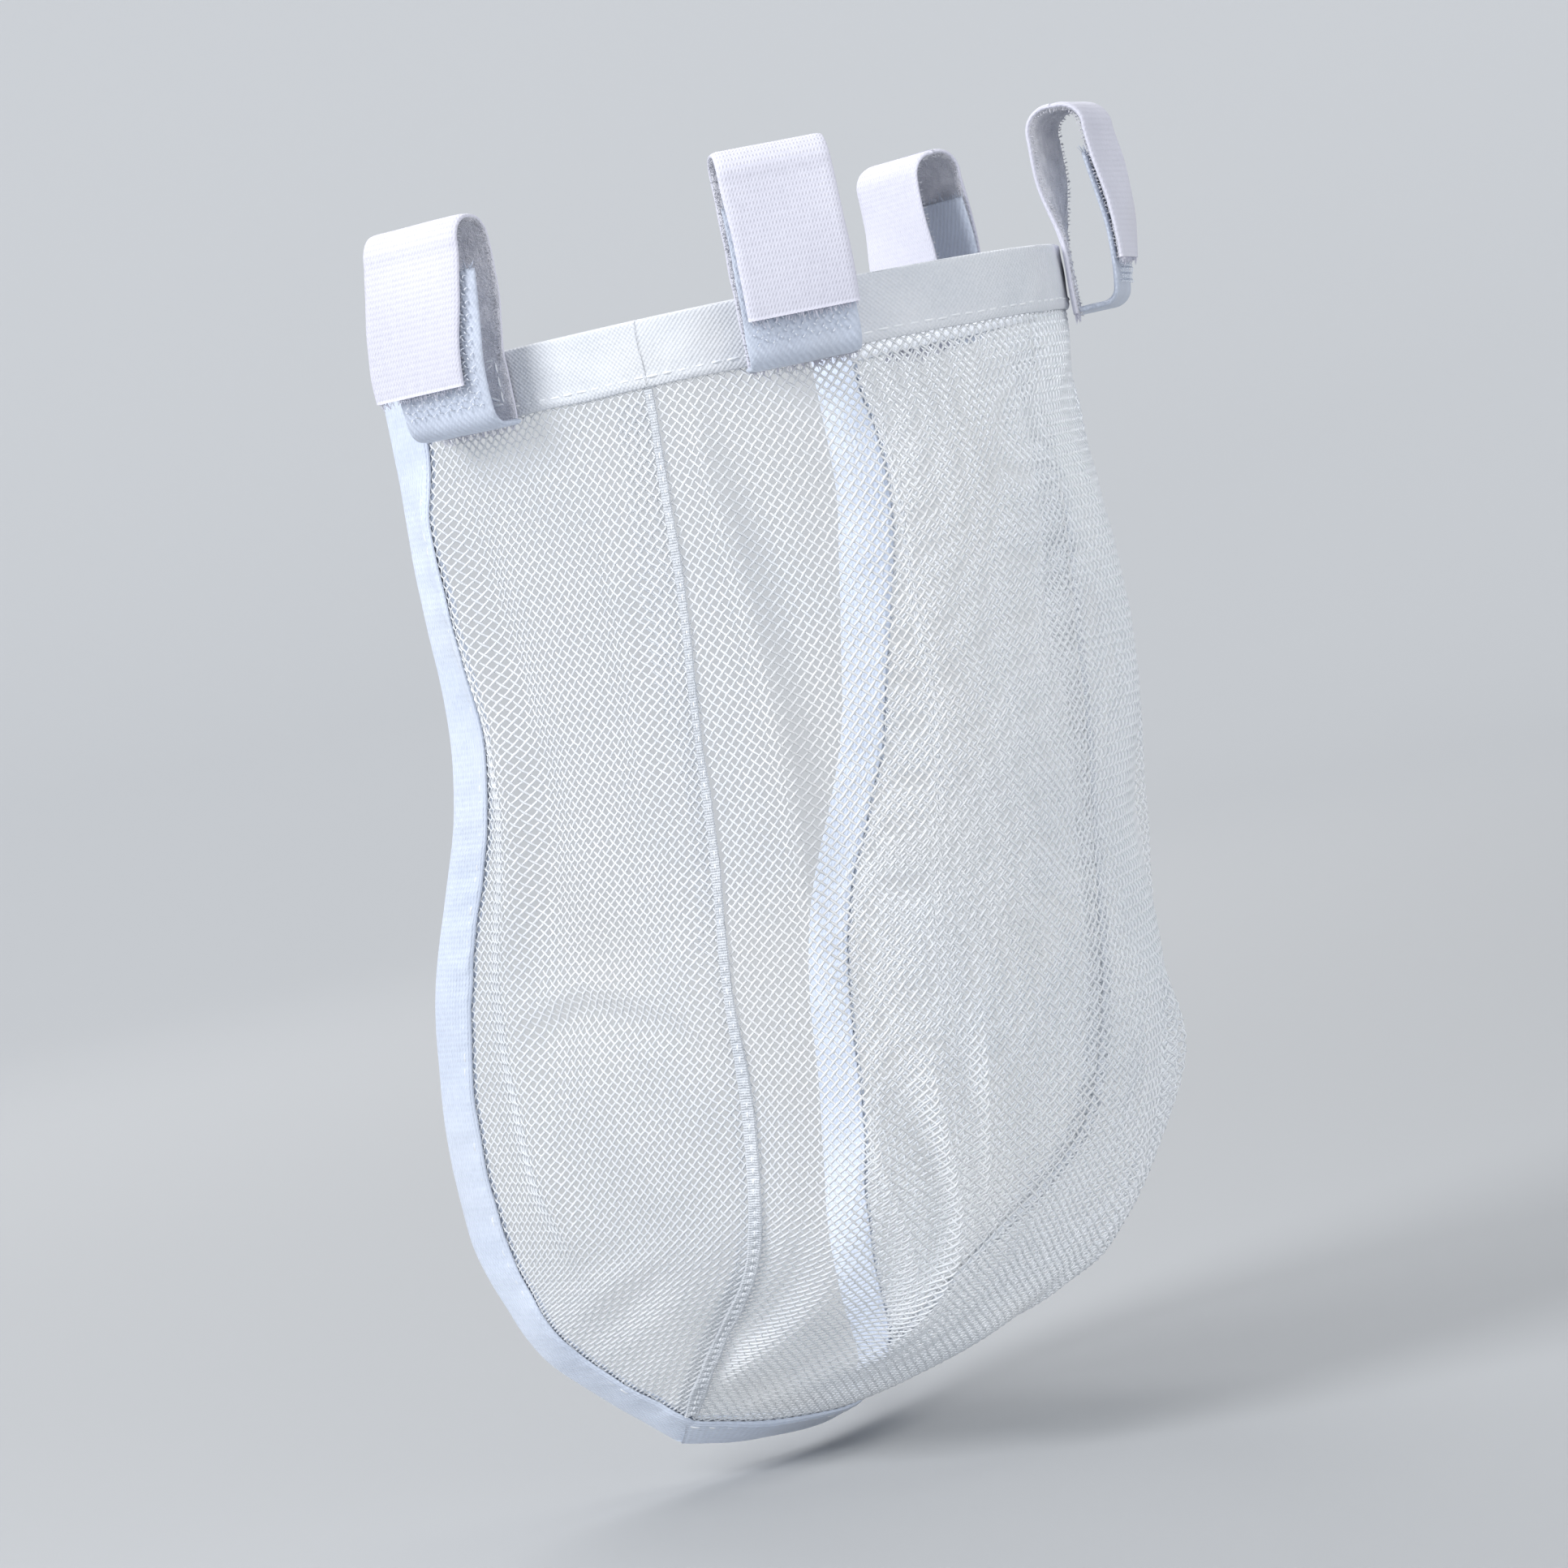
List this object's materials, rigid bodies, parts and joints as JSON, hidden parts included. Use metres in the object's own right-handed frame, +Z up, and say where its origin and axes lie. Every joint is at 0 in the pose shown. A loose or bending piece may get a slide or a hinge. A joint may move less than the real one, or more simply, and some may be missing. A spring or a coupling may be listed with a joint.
{
  "type": "horse nose fly mask",
  "caption": "White mesh nose fly mask: a three-panel muzzle cup with bound edges, hung from a bridle noseband by four opening hook-and-loop tabs.",
  "frame": {"origin": "outer face of the front hem on the centre plane, at the height of the noseband's lower edge", "axes": "+Z up the nose towards the poll, -Y out of the front of the nose, +X to the horse's left"},
  "size_m": [0.1424, 0.1358, 0.2372],
  "materials": {
    "mesh": "open white polyester net",
    "hem_tape": "woven white tape",
    "seam_tape": "folded seam allowance",
    "stretch_binding": "smooth stretch knit, slightly blue",
    "loop_tape": "brushed loop pile",
    "hook_tape": "ribbed hook field with a plain selvedge",
    "thread": "white polyester thread"
  },
  "bodies": {
    "net": {"front_panel": "mesh", "seam_strip_left": "seam_tape", "seam_strip_right": "seam_tape", "seam_thread_left": "thread", "seam_thread_right": "thread", "hem_front": "hem_tape", "chin_binding": "stretch_binding", "tab_foot_inner_left": "loop_tape", "stitch_box_inner_left": "thread", "tab_foot_inner_right": "loop_tape", "stitch_box_inner_right": "thread"},
    "side_left": {"side_panel_left": "mesh", "hem_left": "hem_tape", "edge_binding_left": "stretch_binding", "tab_foot_outer_left": "loop_tape", "stitch_box_outer_left": "thread"},
    "side_right": {"side_panel_right": "mesh", "hem_right": "hem_tape", "edge_binding_right": "stretch_binding", "tab_foot_outer_right": "loop_tape", "stitch_box_outer_right": "thread"},
    "strap_inner_left": {"loop_strap_inner_left": "loop_tape"},
    "flap_inner_left": {"loop_flap_inner_left": "loop_tape"},
    "hook_inner_left": {"hook_tail_inner_left": "hook_tape"},
    "strap_inner_right": {"loop_strap_inner_right": "loop_tape"},
    "flap_inner_right": {"loop_flap_inner_right": "loop_tape"},
    "hook_inner_right": {"hook_tail_inner_right": "hook_tape"},
    "strap_outer_left": {"loop_strap_outer_left": "loop_tape"},
    "flap_outer_left": {"loop_flap_outer_left": "loop_tape"},
    "hook_outer_left": {"hook_tail_outer_left": "hook_tape"},
    "strap_outer_right": {"loop_strap_outer_right": "loop_tape"},
    "flap_outer_right": {"loop_flap_outer_right": "loop_tape"},
    "hook_outer_right": {"hook_tail_outer_right": "hook_tape"}
  },
  "joints": [
    {"name": "side_left_flare", "type": "hinge", "parent": "net", "child": "side_left", "pos_m": [0.0505, 0.041, 0], "axis": [-0.1131, 0.3516, -0.9293], "range_deg": [0, 22]},
    {"name": "side_right_flare", "type": "hinge", "parent": "net", "child": "side_right", "pos_m": [-0.0505, 0.041, 0], "axis": [-0.1131, -0.3516, 0.9293], "range_deg": [0, 22]},
    {"name": "tab_inner_left_swing", "type": "hinge", "parent": "net", "child": "strap_inner_left", "pos_m": [0.03647, 0.01292, 0.01015], "axis": [-0.7604, -0.6494, 0], "range_deg": [0, 50]},
    {"name": "tab_inner_left_peel", "type": "hinge", "parent": "strap_inner_left", "child": "flap_inner_left", "pos_m": [0.04329, 0.00494, 0.0334], "axis": [-0.7604, -0.6494, 0], "range_deg": [0, 150]},
    {"name": "tab_inner_left_hook_lean", "type": "hinge", "parent": "net", "child": "hook_inner_left", "pos_m": [0.03734, 0.0119, -0.00345], "axis": [0.7604, 0.6494, 0], "range_deg": [0, 17.5]},
    {"name": "tab_inner_right_swing", "type": "hinge", "parent": "net", "child": "strap_inner_right", "pos_m": [-0.03647, 0.01292, 0.01015], "axis": [-0.7604, 0.6494, 0], "range_deg": [0, 50]},
    {"name": "tab_inner_right_peel", "type": "hinge", "parent": "strap_inner_right", "child": "flap_inner_right", "pos_m": [-0.04329, 0.00494, 0.0334], "axis": [-0.7604, 0.6494, 0], "range_deg": [0, 150]},
    {"name": "tab_inner_right_hook_lean", "type": "hinge", "parent": "net", "child": "hook_inner_right", "pos_m": [-0.03734, 0.0119, -0.00345], "axis": [0.7604, -0.6494, 0], "range_deg": [0, 17.5]},
    {"name": "tab_outer_left_swing", "type": "hinge", "parent": "side_left", "child": "strap_outer_left", "pos_m": [0.05887, 0.07364, 0.01015], "axis": [-0.0511, -0.9987, 0], "range_deg": [0, 50]},
    {"name": "tab_outer_left_peel", "type": "hinge", "parent": "strap_outer_left", "child": "flap_outer_left", "pos_m": [0.06935, 0.0731, 0.0334], "axis": [-0.0511, -0.9987, 0], "range_deg": [0, 150]},
    {"name": "tab_outer_left_hook_lean", "type": "hinge", "parent": "side_left", "child": "hook_outer_left", "pos_m": [0.06022, 0.07357, -0.00345], "axis": [0.0511, 0.9987, 0], "range_deg": [0, 17.5]},
    {"name": "tab_outer_right_swing", "type": "hinge", "parent": "side_right", "child": "strap_outer_right", "pos_m": [-0.05887, 0.07364, 0.01015], "axis": [-0.0511, 0.9987, 0], "range_deg": [0, 50]},
    {"name": "tab_outer_right_peel", "type": "hinge", "parent": "strap_outer_right", "child": "flap_outer_right", "pos_m": [-0.06935, 0.0731, 0.0334], "axis": [-0.0511, 0.9987, 0], "range_deg": [0, 150]},
    {"name": "tab_outer_right_hook_lean", "type": "hinge", "parent": "side_right", "child": "hook_outer_right", "pos_m": [-0.06022, 0.07357, -0.00345], "axis": [0.0511, -0.9987, 0], "range_deg": [0, 17.5]}
  ],
  "couplings": [
    {"joint": "tab_inner_left_peel", "follows": "tab_inner_left_swing", "ratio": 3},
    {"joint": "tab_inner_left_hook_lean", "follows": "tab_inner_left_swing", "ratio": 0.35},
    {"joint": "tab_inner_right_peel", "follows": "tab_inner_right_swing", "ratio": 3},
    {"joint": "tab_inner_right_hook_lean", "follows": "tab_inner_right_swing", "ratio": 0.35},
    {"joint": "tab_outer_left_peel", "follows": "tab_outer_left_swing", "ratio": 3},
    {"joint": "tab_outer_left_hook_lean", "follows": "tab_outer_left_swing", "ratio": 0.35},
    {"joint": "tab_outer_right_peel", "follows": "tab_outer_right_swing", "ratio": 3},
    {"joint": "tab_outer_right_hook_lean", "follows": "tab_outer_right_swing", "ratio": 0.35}
  ]
}
